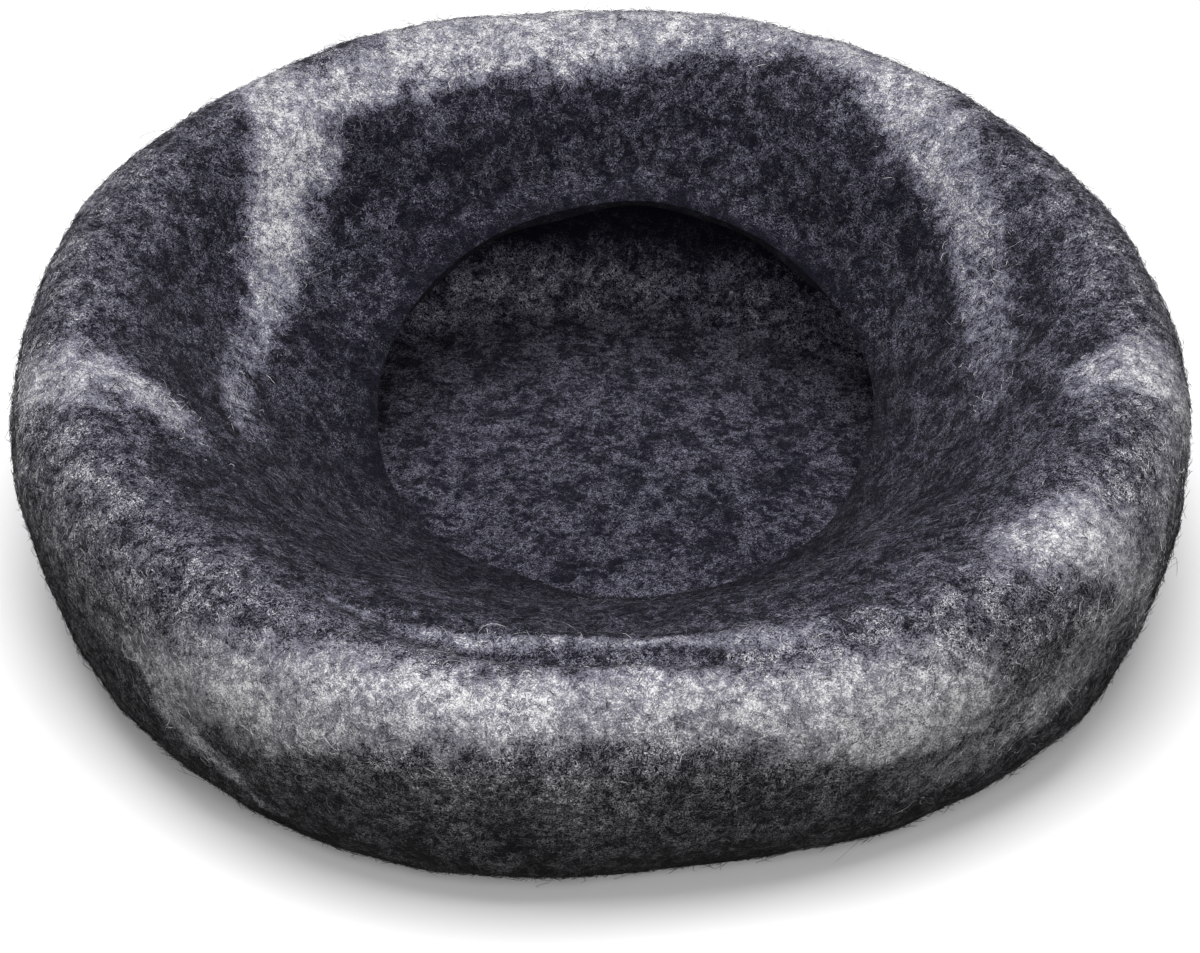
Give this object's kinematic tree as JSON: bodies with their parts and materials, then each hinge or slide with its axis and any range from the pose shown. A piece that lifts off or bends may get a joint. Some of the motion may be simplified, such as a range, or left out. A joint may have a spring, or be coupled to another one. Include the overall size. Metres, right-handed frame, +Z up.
{
  "type": "felt cat cave",
  "caption": "Seamless wool-felt cat cave with its dome pressed down into itself: a round bed with a rolled rim, a sloping bowl and a round entrance in the inner layer.",
  "frame": {"origin": "on the flat underside, in the middle of the base", "axes": "+Z up, +Y towards the high back of the rim, +X across the bed to the right seen from the low front"},
  "size_m": [0.5895, 0.5378, 0.1956],
  "materials": {
    "wool_felt": "matt needled and wetted wool, charcoal with pale grey bands"
  },
  "bodies": {
    "root": {"felt_shell": "wool_felt"}
  },
  "joints": []
}
